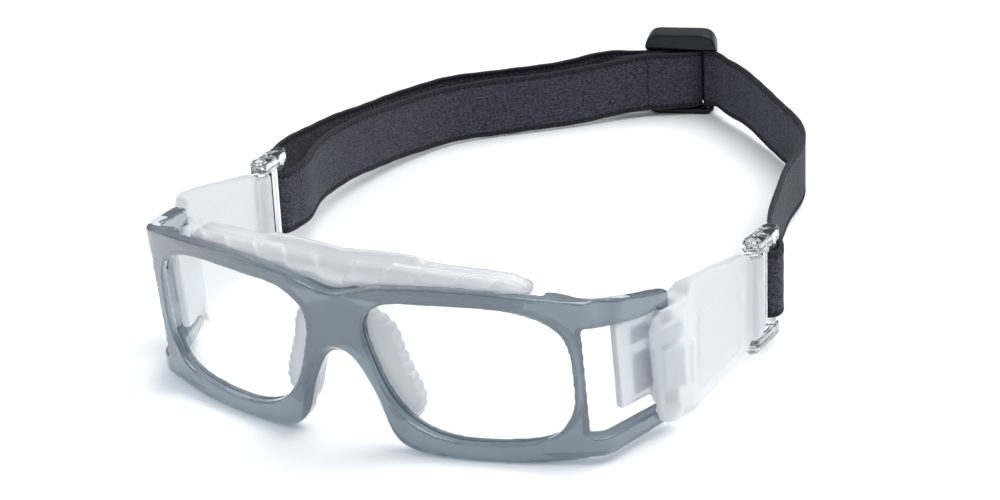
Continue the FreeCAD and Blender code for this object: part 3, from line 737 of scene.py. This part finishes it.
def nose_section(scallop, width):
    """Section of the nose pad: places inwards from its outer edge, and depths behind the front face."""
    near, far = NOSE_DEPTHS
    return [(scallop + 0.1, near + 0.5), (scallop + 0.6, near), (width * 0.3, near), (width * 0.6, near),
            (width - 0.6, near + 0.1), (width, near + 0.8), (width + 0.15, near + 2.2),
            (width - 0.1, far - 1.6), (width - 0.8, far - 0.5), (width * 0.6, far - 0.1), (width * 0.35, far),
            (scallop + 1.2, far - 0.3), (scallop + 0.4, far - 1.0), (scallop, (near + far) / 2)]


def build_nose_pad():
    """Inverted U behind the bridge, with a scalloped outer edge and a rounded bearing edge."""
    outer, length = walk(both_sides(PAD_CROWN, PAD_OUTER), CURVE_STEP)
    inner, _ = walk(both_sides(PAD_SADDLE, PAD_INNER), CURVE_STEP)
    count = len(outer)
    inner = np.stack([np.interp(np.linspace(0, 1, count), np.linspace(0, 1, len(inner)), inner[:, axis])
                      for axis in (0, 1)], axis=1)
    middle = sum(NOSE_DEPTHS) / 2
    rings = []
    for index in range(count):
        run = length * index / (count - 1)
        to_inner = inner[index] - outer[index]
        width = np.linalg.norm(to_inner)
        to_inner = to_inner / width
        from_end = min(run, length - run)
        fade = float(smooth_step(from_end / SCALLOP_END_FADE))
        fade *= float(smooth_step((length / 2 - from_end) / SCALLOP_CROWN_FADE))
        scallop = SCALLOP_DEPTH * (1 - abs(math.sin(math.pi * run / SCALLOP_PITCH)) ** SCALLOP_POWER)
        scallop *= fade
        scale = math.sqrt(max(1.0 - max(0.0, 1 - from_end / NOSE_END) ** 2, NOSE_END_FLOOR))
        ring = []
        for across, depth in nose_section(scallop, width):
            across = width / 2 + (across - width / 2) * scale
            depth = middle + (depth - middle) * (NOSE_END_DEPTH + (1.0 - NOSE_END_DEPTH) * scale)
            x, z = outer[index] + to_inner * across
            ring.append(behind_face(x, depth, z))
        rings.append(ring)
    mesh = rings_mesh("nose_cushion", rings)
    made = piece_of("nose_cushion", mesh, "pad_silicone")
    smoother = made.modifiers.new("round", "SUBSURF")
    smoother.levels = smoother.render_levels = 1
    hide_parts("nose_pad")
    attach(made, "root")


# ---------------------------------------------------------------- temples and buckles

ALONG = (ARM_REAR - ARM_FRONT) / np.linalg.norm(ARM_REAR - ARM_FRONT)
OUT = np.array([ALONG[1], -ALONG[0]])
HINGE = ARM_REAR - (ALONG + OUT) * HALF_ARM
FLAP_FACE = 4.4
PLATE_START, PLATE_REAR = 5.0, np.array([80.0, 100.0])
TEMPLE_GRAIN, INSERT_GRAIN, BUCKLE_GRAIN = (0.4, 5), (0.3, 2), (0.25, 3)
PATCH_ROOT, PATCH_SHOULDER, PATCH_CORNER = -0.8, 0.6, 6


def on_arm(along, out, z):
    """Point in the arm's own directions from the hinge axis, which leans as the front does."""
    x, y = HINGE + ALONG * along + OUT * out
    return np.array([x, y + FACE_LEAN * (LEAN_HEIGHT - z), z])


def on_plate(distance, out, z):
    """Point on the temple's outer face, from the end of the flap towards the buckle."""
    start = HINGE + ALONG * PLATE_START + OUT * FLAP_FACE
    run = (PLATE_REAR - start) / np.linalg.norm(PLATE_REAR - start)
    x, y = start + run * distance + np.array([run[1], -run[0]]) * out
    return np.array([x, y, z])


def rounded_patch(side, name, place, first, last, low, high, corner, rise):
    """Low raised panel with round corners on a face, whose points place(along, out, z) gives.

    The side is 1, or -1 for the same panel on the other temple.
    """
    outline = []
    for across, up, start in ((1, 1, 0), (-1, 1, 90), (-1, -1, 180), (1, -1, 270)):
        centre = np.array([last - corner if across > 0 else first + corner,
                           high - corner if up > 0 else low + corner])
        outline += [centre + unit(angle) * corner for angle in np.linspace(start, start + 90, PATCH_CORNER)]
    rings = []
    for out, shrink in ((PATCH_ROOT, 0.0), (rise * PATCH_SHOULDER, 0.0), (rise, rise * PATCH_SHOULDER)):
        middle = np.array([(first + last) / 2, (low + high) / 2])
        ring = []
        for point in outline:
            pulled = point - np.sign(point - middle) * shrink
            spot = place(pulled[0], out, pulled[1])
            ring.append(spot * np.array([side, 1, 1]))
        rings.append(ring)
    return rings_mesh(name, rings)


def on_flap(along, out, z):
    """Point on the outer flap's face."""
    return on_arm(along, FLAP_FACE + out, z)


# Raised pads on the outer flap, the slim rib behind it and a faint panel towards the buckle: name, face, ends
# along it, ends up it, corner radius and rise.
TEMPLE_DETAILS = [
    ("flap_head", on_flap, -6.6, 4.0, 27.0, 35.8, 1.8, 0.45),
    ("flap_waist", on_flap, -5.2, 4.0, 9.5, 26.0, 1.2, 0.3),
    ("flap_rib", on_plate, 3.2, 4.6, 12.6, 25.4, 0.6, 0.75),
    ("plate_panel", on_plate, 8.0, 36.0, 9.0, 30.0, 2.5, 0.25),
]


def build_temples():
    for side, sign in (("right", 1), ("left", -1)):
        details = [rounded_patch(sign, *detail) for detail in TEMPLE_DETAILS]
        made = moulded(f"temple_{side}_skin", f"temple_{side}", "temple_elastomer", TEMPLE_GRAIN,
                       additions=details)
        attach(made, f"temple_{side}")
        core = moulded(f"insert_{side}_core", f"hinge_insert_{side}", "insert_plastic", INSERT_GRAIN)
        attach(core, f"temple_{side}")


def build_buckles():
    for side in ("right", "left"):
        made = moulded(f"buckle_{side}_crystal", f"buckle_{side}", "clear_crystal", BUCKLE_GRAIN)
        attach(made, f"buckle_{side}")


# ---------------------------------------------------------------- slider

SLIDER_PLACE, SLIDER_TURN = np.array([-17.3, 262.4]), 17.0
SLIDER_HEIGHT, SLIDER_DEPTH = 28.8, 7.2
SLIDER_GRAIN = 0.3, 4
SLIDER_STRETCH = (0.0, 24.6, 29.4), (0.0, 23.1, 28.8)   # heights of the CAD's slider, and where they are taken
RAIL_DISH, RAIL_ROUND = 0.55, 2.6
NICK_ALONG, NICK_WIDTH, NICK_DEPTH = 1.0, 0.8, 0.5
NICK_TOP, NICK_FLOOR = 1.6, 4.2        # below the slider's top


def at_slider(points):
    """Plan points from places along the slider and across it."""
    along, across = unit(SLIDER_TURN), unit(SLIDER_TURN + 90)
    return [tuple(SLIDER_PLACE + along * u + across * v) for u, v in points]


def shape_slider(points):
    """Bring the upper rail down to the webbing, dish its front and put a small nick in it."""
    along = unit(SLIDER_TURN)
    across = (points[:, :2] - SLIDER_PLACE) @ unit(SLIDER_TURN + 90)
    points = points.copy()
    points[:, 2] = np.interp(points[:, 2], *SLIDER_STRETCH)
    front = np.clip(-across / (SLIDER_DEPTH / 2), 0.0, 1.0)
    high = smooth_step((points[:, 2] - SLIDER_HEIGHT + RAIL_ROUND) / RAIL_ROUND)
    points[:, 2] -= RAIL_DISH * high * front**2
    run = (points[:, :2] - SLIDER_PLACE) @ along
    nick = np.exp(-((run - NICK_ALONG) / NICK_WIDTH) ** 2) * (points[:, 2] > SLIDER_HEIGHT - NICK_FLOOR) * front
    points[:, 2] -= NICK_DEPTH * nick * (points[:, 2] < SLIDER_HEIGHT - NICK_TOP)
    return points


def build_slider():
    made = moulded("slider_buckle", "slider", "black_plastic", SLIDER_GRAIN, shape_slider)
    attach(made, "slider")


# ---------------------------------------------------------------- strap

STRAP_WIDTH = 20.0
WEBBING_FLOOR = [(90, 9.4), (104, 9.3), (117, 8.7), (130, 7.9), (145, 6.4), (160, 4.9), (175, 3.2), (190, 1.8),
                 (205, 0.9), (213, 0.6), (222, 0.5), (232, 0.7), (242, 1.4), (248, 2.0), (254, 2.4), (260, 2.4),
                 (266, 2.4), (273, 2.4), (280, 2.4)]
RIGHT_RUN = [(75.15, 110.4), (73.3, 117.0), (70.0, 125.0), (64.5, 142.0), (58.0, 165.0), (54.0, 181.0),
             (51.6, 195.0), (48.5, 207.0), (43.0, 217.5), (30.0, 232.5), (18.0, 244.5), (7.4, 253.8),
             (0.5, 258.9)]
OUTER_LAYER = [(-36.0, 253.6), (-50.0, 241.5), (-65.0, 228.8), (-79.0, 217.0), (-86.5, 203.0), (-90.5, 184.0),
               (-92.6, 165.0), (-93.4, 148.0), (-92.9, 134.0), (-91.5, 122.0), (-88.6, 113.9), (-86.5, 110.4)]
INNER_LAYER = [(-76.0, 110.4), (-77.0, 116.0), (-79.5, 123.0), (-82.6, 133.0), (-84.9, 148.0), (-85.0, 165.0),
               (-83.6, 180.0), (-80.8, 193.0), (-75.0, 207.0), (-65.5, 217.5), (-54.5, 226.9), (-43.5, 236.6),
               (-33.0, 246.8), (-27.6, 251.4)]
END_TAIL = [(76.9, 114.6), (79.2, 110.4), (81.1, 106.6)]
BEFORE_RIGHT_BAR = [(13.2, -3.7), (11.3, -1.75), (9.8, -1.15), (8.6, -0.9)]
BEHIND_CENTRE_BAR = [(7.5, 2.6), (4.3, 4.2)]
BEHIND_TO_LEFT = [(3.8, 4.2), (0.0, 3.9), (-4.0, 3.0), (-6.6, 1.4), (-9.1, -1.2), (-12.4, -2.6)]
INTO_GRIP = [(-6.0, -5.6), (1.6, -4.0)]
OUT_OF_GRIP = [(0.5, 1.3), (-3.2, -0.7), (-8.0, -3.6)]
GRIP_TAIL = [(-30.6, 251.0), (-34.6, 247.6)]
AFTER_RIGHT_TURN = [(75.9, 106.5), (75.25, 109.2)]
BEFORE_LEFT_TURN, AFTER_LEFT_TURN = [(-83.6, 106.6)], [(-76.0, 106.6)]
GRIP_ANGLES = (-40, 90)
STRAP_BAR, CENTRE_BAR = (78.9, 103.0), (3.9, 0.0)
BAR_TURN, GRIP_TURN = 2.8, 2.5         # from a bar's axis to the middle of the webbing round it

BODY_HALF, CORD_RADIUS = 0.55, 0.65
FACE_SHARE = 0.97      # of the half thickness, where the face starts to fall to the cord
FLAT_LEVELS, FLAT_SHARES = [0.0, 3.0, 6.0, 8.0, 8.4], [1.0, 1.0, 1.0, FACE_SHARE, 0.8]
CORD_ANGLES = (-55, -30, 0, 30, 55, 75, 90)
CORD_LEVEL = 8.3       # height from the webbing's middle at which the cord starts
SWELL_SLOW, SWELL_FAST, SWELL_TWIST = (0.05, 0.61), (0.04, 1.7), 2.1
WANDER_SLOW, WANDER_FAST, WANDER_LAG = (0.10, 0.23), (0.05, 0.71), 1.3
RING_STEPS, END_RING = 1.0, 0.03
STITCH_LEVEL, STITCH_LENGTH, STITCH_PITCH, STITCH_RADIUS = 8.25, 1.1, 1.9, 0.15
FIRST_STITCH, LAST_STITCH = 0.5, 0.2
SEAM_LEVELS, SEAM_PITCH, SEAM_STITCH, SEAM_LIFT, SEAM_RADIUS = (-8.6, 7.4), 2.0, 1.6, 0.04, 0.2
BUCKLE_SEAM_RUNS, SLIDER_SEAM_RUN = [1.6, 3.0], 2.2
BLEND_HEIGHT = 12.0
webbing_floor = height_curve(WEBBING_FLOOR)


def band_section():
    """Half thickness of the webbing at heights across it: flat, with a rolled cord along either edge."""
    cord = STRAP_WIDTH / 2 - CORD_RADIUS
    levels = list(FLAT_LEVELS)
    halves = [BODY_HALF * share for share in FLAT_SHARES]
    for angle in CORD_ANGLES:
        levels.append(cord + CORD_RADIUS * math.sin(math.radians(angle)))
        halves.append(CORD_RADIUS * math.cos(math.radians(angle)))
    rows = list(zip(levels, halves))
    return [(-level, half) for level, half in reversed(rows[1:])] + rows


def course_of(plan):
    """A strap's centreline, sideways directions, floor heights and run, in even steps."""
    line, length = walk(plan, RING_STEPS)
    tangent = np.gradient(line, axis=0)
    tangent /= np.linalg.norm(tangent, axis=1)[:, None]
    sideways = np.stack([-tangent[:, 1], tangent[:, 0]], axis=1)
    return line, sideways, webbing_floor(line[:, 1]), np.linspace(0.0, length, len(line))


def ripple(run, level):
    """The elastic's slight waviness (mm): sideways swell of the face and wander of its edges."""
    (slow, slow_turn), (fast, fast_turn) = SWELL_SLOW, SWELL_FAST
    swell = slow * math.sin(run * slow_turn + level) + fast * math.sin(run * fast_turn + SWELL_TWIST * level)
    (slow, slow_turn), (fast, fast_turn) = WANDER_SLOW, WANDER_FAST
    wander = slow * math.sin(run * slow_turn) + fast * math.sin(run * fast_turn + WANDER_LAG)
    return swell, wander * level / (STRAP_WIDTH / 2)


def band_mesh(name, course):
    """Webbing along a course. Material 0 is the knit, 1 the edge yarn."""
    rows = band_section()
    ring_levels = rows + [(level, -half) for level, half in reversed(rows[1:-1])]
    count = len(course[3])
    stops = np.array([0, END_RING, *range(1, count - 1), count - 1 - END_RING, count - 1])
    course = [np.stack([np.interp(stops, range(count), axis) for axis in np.atleast_2d(values.T)],
                       axis=1).squeeze() for values in course]
    rings = []
    for (x, y), side, low, run in zip(*course):
        ring = []
        for level, half in ring_levels:
            swell, wander = ripple(run, level)
            offset = half + swell * (1 if abs(level) < CORD_LEVEL else 0)
            ring.append(np.array([x + side[0] * offset, y + side[1] * offset,
                                  low + STRAP_WIDTH / 2 + level + wander]))
        rings.append(ring)
    mesh = rings_mesh(name, rings)
    knit_map(mesh, len(ring_levels), [level for level, _ in ring_levels], course[3])
    return mesh


def knit_map(mesh, turns, levels, runs):
    """UV map in metres, along and across the webbing, and the edge yarn's faces."""
    layer = mesh.uv_layers.new(name="webbing")
    for face in mesh.polygons:
        heights = []
        for loop in face.loop_indices:
            index = mesh.loops[loop].vertex_index
            level = levels[index % turns]
            heights.append(abs(level))
            layer.data[loop].uv = (runs[index // turns] * MM, level * MM)
        face.material_index = 1 if min(heights) > CORD_LEVEL and len(heights) == 4 else 0


THREAD_PROFILE = [(0.0, 0.35), (0.12, 0.85), (0.5, 1.0), (0.88, 0.85), (1.0, 0.35)]   # share of run, of radius
THREAD_SIDES, OFF_AXIS = 6, [0.31, 0.52, 0.8]      # no stitch runs along this direction


def thread(start, end, radius):
    """Stitch: a short rod with round, dipping ends."""
    start, end = np.array(start), np.array(end)
    run = (end - start) / np.linalg.norm(end - start)
    first = np.cross(run, OFF_AXIS)
    first /= np.linalg.norm(first)
    second = np.cross(run, first)
    rings = []
    for share, width in THREAD_PROFILE:
        centre = start + (end - start) * share
        rings.append([centre + (first * math.cos(turn) + second * math.sin(turn)) * radius * width
                      for turn in np.linspace(0, 2 * math.pi, THREAD_SIDES + 1)[:-1]])
    return rings_mesh("stitch", rings)


def join(name, meshes, materials):
    """One mesh of several; each keeps the material index given with it, or its own where that is None."""
    whole = bmesh.new()
    for mesh, material in meshes:
        first = len(whole.faces)
        whole.from_mesh(mesh)
        if material is not None:
            whole.faces.ensure_lookup_table()
            for face in whole.faces[first:]:
                face.material_index = material
        bpy.data.meshes.remove(mesh)
    made = bpy.data.meshes.new(name)
    whole.to_mesh(made)
    whole.free()
    holder = bpy.data.objects.new(name, made)
    bpy.context.collection.objects.link(holder)
    for material in materials:
        made.materials.append(bpy.data.materials[material])
    return holder


def on_band(course, run, level, face, out=0.0):
    """Point on a face (-1 or 1) of the webbing at a run along it and a level from its middle."""
    line, sideways, floor, runs = course
    swell, wander = ripple(run, level)
    x, y = (np.interp(run, runs, line[:, axis]) for axis in (0, 1))
    side = np.array([np.interp(run, runs, sideways[:, axis]) for axis in (0, 1)])
    offset = face * (BODY_HALF * FACE_SHARE + out) + swell
    height = np.interp(run, runs, floor) + STRAP_WIDTH / 2 + level + wander
    return x + side[0] * offset, y + side[1] * offset, height


def edge_stitches(course):
    """Pick stitches just inside both edges, on both faces."""
    first, last = course[3][0], course[3][-1]
    stitches = []
    for run in np.arange(first + FIRST_STITCH, last - STITCH_LENGTH - LAST_STITCH, STITCH_PITCH):
        for level in (-STITCH_LEVEL, STITCH_LEVEL):
            for face in (-1, 1):
                stitches.append((thread(on_band(course, run, level, face),
                                        on_band(course, run + STITCH_LENGTH, level, face), STITCH_RADIUS), 2))
    return stitches


RIGHT_JOIN, SLIDER_JOIN = (75.15, 110.4), at_slider([(4.05, 4.2)])[0]
OUTER_JOIN, INNER_JOIN, GRIP_JOIN = (-86.5, 110.4), (-76.0, 110.4), (-27.6, 251.4)

# Lengths of the strap in order: name, the CAD node it stands for, where it ends, how it is held, and its body,
# or the two bodies that it runs between with the axis along which it passes from one to the other.
STRAP = [
    ("strap_end", "strap_end_loop", RIGHT_JOIN, "folded", "buckle_right"),
    ("strap_right_1", "strap_right_run", (70.0, 125.0), "stretched", ("buckle_right", "temple_right", "y")),
    ("strap_right_2", None, (54.0, 181.0), "stretched", ("temple_right", "root", "y")),
    ("strap_right_3", None, (43.0, 217.5), "stretched", "root"),
    ("strap_right_4", None, SLIDER_JOIN, "stretched", ("root", "slider", "x")),
    ("strap_outer_1", "strap_outer_layer", (-79.0, 217.0), "stretched", ("slider", "root", "x")),
    ("strap_outer_2", None, (-90.5, 184.0), "stretched", "root"),
    ("strap_outer_3", None, (-91.5, 122.0), "stretched", ("root", "temple_left", "y")),
    ("strap_outer_4", None, OUTER_JOIN, "stretched", ("temple_left", "buckle_left", "y")),
    ("strap_fold", "strap_left_fold", INNER_JOIN, "folded", "buckle_left"),
    ("strap_inner_1", "strap_inner_layer", (-79.5, 123.0), "stretched", ("buckle_left", "temple_left", "y")),
    ("strap_inner_2", None, (-83.6, 180.0), "stretched", ("temple_left", "root", "y")),
    ("strap_inner_3", None, (-75.0, 207.0), "stretched", "root"),
    ("strap_inner_4", None, GRIP_JOIN, "stretched", ("root", "slider", "x")),
    ("strap_grip", "strap_slider_loop", None, "folded", "slider"),
]


def strap_plan():
    """The whole strap's centreline from its sewn end to its tail in the slider."""
    bar = np.array(STRAP_BAR)
    left_bar = bar * np.array([-1, 1])
    sewn_end = END_TAIL + around(bar, BAR_TURN, 0, -180) + AFTER_RIGHT_TURN
    left_turn = BEFORE_LEFT_TURN + around(left_bar, BAR_TURN, -180, 0) + AFTER_LEFT_TURN
    grip = at_slider(INTO_GRIP + around(CENTRE_BAR, GRIP_TURN, *GRIP_ANGLES) + OUT_OF_GRIP)
    through_slider = at_slider(BEFORE_RIGHT_BAR + BEHIND_CENTRE_BAR + BEHIND_TO_LEFT)
    return sewn_end + RIGHT_RUN + through_slider + OUTER_LAYER + left_turn + INNER_LAYER + grip + GRIP_TAIL


def nearest(course, place, first=0):
    """Index of the course's point that is nearest to a place, counting from a given one on."""
    return first + int(np.argmin(np.linalg.norm(course[0][first:] - np.array(place), axis=1)))


def build_strap(course):
    """Webbing of each length with its edge stitches; a length held by one body hangs from it, one that runs
    between two bodies is left unattached.
    """
    first = 0
    for name, node, end, held, owner in STRAP:
        last = len(course[0]) - 1 if end is None else nearest(course, end, first)
        part = [values[first:last + 1] for values in course]
        made = join(name, [(band_mesh(name, part), None)] + edge_stitches(part),
                    ["knit_elastic", "edge_yarn", "sewing_thread"])
        if node is not None:
            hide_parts(node)
        if isinstance(owner, str):
            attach(made, owner)
        else:
            bounds = [Vector((*course[0][place], BLEND_HEIGHT)) * MM for place in (first, last)]
            if owner[2] == "y":
                for bound in bounds:
                    bound.x = 0.0
            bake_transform(made)
        first = last


def seam(name, node, body, course, places):
    """Rows of stitches across the webbing, on both faces."""
    stitches = []
    for run in places:
        for face in (-1, 1):
            for level in np.arange(*SEAM_LEVELS, SEAM_PITCH):
                stitches.append((thread(on_band(course, run, level, face, SEAM_LIFT),
                                        on_band(course, run, level + SEAM_STITCH, face, SEAM_LIFT),
                                        SEAM_RADIUS), 0))
    made = join(name, stitches, ["sewing_thread"])
    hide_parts(node)
    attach(made, body)


def build_seams(course):
    seam("seam_buckle", "stitching_buckle", "buckle_right", course, BUCKLE_SEAM_RUNS)
    join_run = course[3][nearest(course, GRIP_JOIN)]
    seam("seam_slider", "stitching_slider", "slider", course, [join_run + SLIDER_SEAM_RUN])


build_camera()
build_sky()
build_lights()
bpy.context.scene.view_settings.view_transform = "Standard"
build_floor()
build_materials()
build_frame()
build_lenses()
build_brow_pad()
build_nose_pad()
build_temples()
build_buckles()
build_slider()
strap_course = course_of(strap_plan())
build_strap(strap_course)
build_seams(strap_course)
